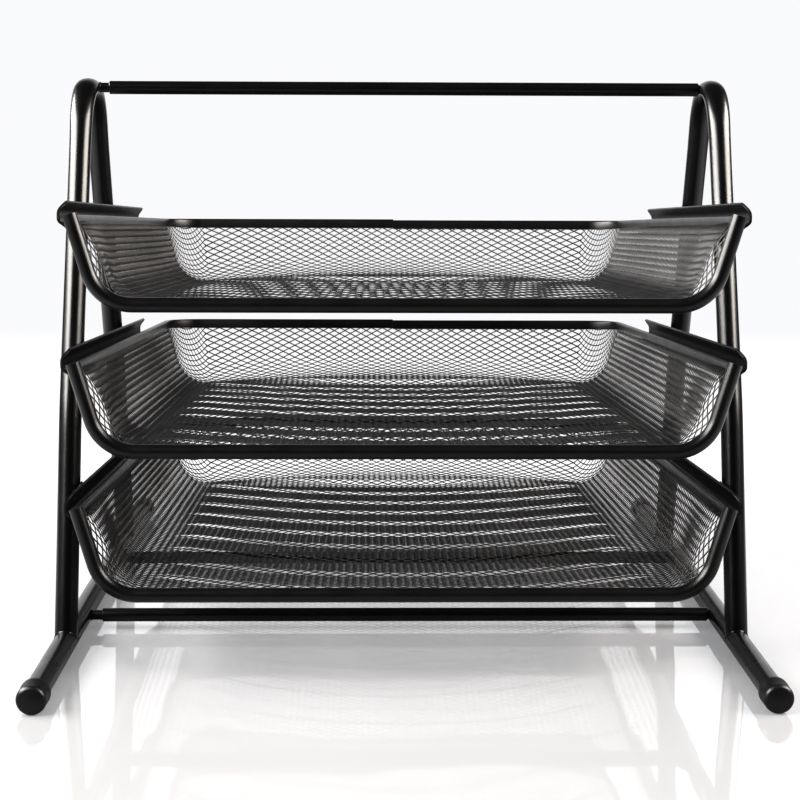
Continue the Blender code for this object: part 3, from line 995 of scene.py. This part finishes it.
def build_floor():
    """A wide glossy white sheet that fades into the backdrop. It glows more towards the sides."""
    far = FLOOR_HALF_SIZE
    floor = new_object("floor", [(-far, -far, 0), (far, -far, 0), (far, far, 0), (-far, far, 0)],
                       [(0, 1, 2, 3)])
    material = bpy.data.materials.new("floor_sheet")
    material.use_nodes = True
    tree = material.node_tree
    shader = tree.nodes["Principled BSDF"]
    shader.inputs["Base Color"].default_value = FLOOR_COLOUR
    shader.inputs["Roughness"].default_value = FLOOR_ROUGHNESS
    shader.inputs["IOR"].default_value = FLOOR_IOR
    shader.inputs["Emission Color"].default_value = FLOOR_GLOW_COLOUR
    place = tree.nodes.new("ShaderNodeTexCoord").outputs["Object"]
    add_bump(tree, shader, noise_field(tree, place, FLOOR_RIPPLE_SCALE),
             FLOOR_RIPPLE_HEIGHT, FLOOR_RIPPLE_STRENGTH)
    parts = tree.nodes.new("ShaderNodeSeparateXYZ")
    tree.links.new(place, parts.inputs["Vector"])
    sideways = tree.nodes.new("ShaderNodeMath")
    sideways.operation = "ABSOLUTE"
    tree.links.new(parts.outputs["X"], sideways.inputs[0])
    offset = sideways.outputs["Value"]
    glow = tree.nodes.new("ShaderNodeMix")
    glow.data_type = "FLOAT"
    tree.links.new(mapped(tree, offset, *FLOOR_LIT_LEVELS, *FLOOR_LIT_PLACES), glow.inputs["A"])
    tree.links.new(mapped(tree, offset, *FLOOR_SEEN_LEVELS, *FLOOR_SEEN_PLACES), glow.inputs["B"])
    seen = tree.nodes.new("ShaderNodeLightPath").outputs["Is Camera Ray"]
    tree.links.new(seen, glow.inputs["Factor"])
    tree.links.new(glow.outputs["Result"], shader.inputs["Emission Strength"])
    fade_out(tree, shader, place)
    floor.data.materials.append(material)
    return floor


def soft_light(name, azimuth, elevation, width, height, radiance, colour, glossy=True):
    """A rectangular light aimed at the tray."""
    lamp = bpy.data.lights.new(name, "AREA")
    lamp.shape = "RECTANGLE"
    lamp.size = width
    lamp.size_y = height
    lamp.energy = radiance * pi * width * height
    lamp.color = colour
    thing = bpy.data.objects.new(name, lamp)
    bpy.context.scene.collection.objects.link(thing)
    around = radians(azimuth)
    up = radians(elevation)
    away = Vector((sin(around) * cos(up), -cos(around) * cos(up), sin(up)))
    thing.location = LIGHT_TARGET + away * LIGHT_DISTANCE
    thing.rotation_mode = "QUATERNION"
    thing.rotation_quaternion = away.to_track_quat("Z", "Y")
    thing.visible_camera = False
    thing.visible_glossy = glossy
    return thing


def restrict(lamp, floor, state):
    """Light linking: INCLUDE has a lamp light the floor alone, EXCLUDE all but the floor."""
    receivers = bpy.data.collections.new(lamp.name + "_receivers")
    receivers.objects.link(floor)
    receivers.collection_objects[0].light_linking.link_state = state
    lamp.light_linking.receiver_collection = receivers


def build_lights(floor):
    """Two side softboxes and a soft top light. The floor has its own pair without glare."""
    for side, settings in SIDE_LIGHTS.items():
        restrict(soft_light(side + "_softbox", *settings), floor, "EXCLUDE")
        restrict(soft_light(side + "_floor_light", *settings, glossy=False), floor, "INCLUDE")
    soft_light("top_softbox", *TOP_LIGHT, glossy=False)


def build_world():
    """Evenly pale for the camera. For reflections it is dim, and bright only at the back."""
    world = bpy.data.worlds.new("studio")
    bpy.context.scene.world = world
    world.use_nodes = True
    tree = world.node_tree
    background = tree.nodes["Background"]
    direction = tree.nodes.new("ShaderNodeTexCoord").outputs["Generated"]
    parts = tree.nodes.new("ShaderNodeSeparateXYZ")
    tree.links.new(direction, parts.inputs["Vector"])
    level = mapped(tree, parts.outputs["Y"], BACKDROP_FRONT_LEVEL, BACKDROP_BACK_LEVEL,
                   *BACKDROP_TURN)
    level.node.interpolation_type = "SMOOTHSTEP"
    path = tree.nodes.new("ShaderNodeLightPath")
    strength = tree.nodes.new("ShaderNodeMix")
    strength.data_type = "FLOAT"
    strength.inputs["B"].default_value = BACKDROP_SEEN_LEVEL
    tree.links.new(path.outputs["Is Camera Ray"], strength.inputs["Factor"])
    tree.links.new(level, strength.inputs["A"])
    tree.links.new(strength.outputs["Result"], background.inputs["Strength"])
    background.inputs["Color"].default_value = BACKDROP_COLOUR


def build_camera():
    data = bpy.data.cameras.new("camera")
    data.lens = CAMERA_LENS
    data.sensor_width = CAMERA_SENSOR
    camera = bpy.data.objects.new("camera", data)
    bpy.context.scene.collection.objects.link(camera)
    turn = Matrix.Rotation(CAMERA_TURN, 4, "Z")
    pitch = Matrix.Rotation(CAMERA_PITCH, 4, "X")
    roll = Matrix.Rotation(CAMERA_ROLL, 4, "Z")
    camera.matrix_world = Matrix.Translation(CAMERA_PLACE) @ turn @ pitch @ roll
    bpy.context.scene.camera = camera


def build_stand():
    foot_y = -leg_points()[0].x
    for side, sign in SIDES.items():
        build_leg(side, sign)
        build_rail(side, sign)
        for end, turn in (("front", -1.0), ("rear", 1.0)):
            build_cap(end, side, sign, turn)
            build_foot_weld(end + "_" + side + "_foot_weld", sign, turn, turn * foot_y)
    leg_face = SIDE_X - TUBE_RADIUS * (1.0 + LEG_TOP_WIDENING)
    rail_face = SIDE_X - TUBE_RADIUS
    build_crossbar("top", STAND_Y, LEG_TOP_Z, leg_face)
    build_crossbar("front", STAND_Y - FOOT_BAR_Y, RAIL_Z, rail_face)
    build_crossbar("rear", STAND_Y + FOOT_BAR_Y, RAIL_Z, rail_face)


def build_tiers():
    strands = expanded_metal("strands")
    for tier, height in TIERS.items():
        build_pan(tier, height, strands.copy())
        build_front_rim(tier, height)
        for side, sign in SIDES.items():
            build_runner(tier, side, sign, height)
            build_runner_welds(tier, side, sign, height)
            build_hem(tier, side, sign, height, HEM_DROP if side == "right" else 0.0)


build_stand()
build_tiers()
build_lights(build_floor())
build_world()
build_camera()
bpy.context.scene.view_settings.view_transform = "Standard"
bpy.context.scene.view_settings.look = "High Contrast"
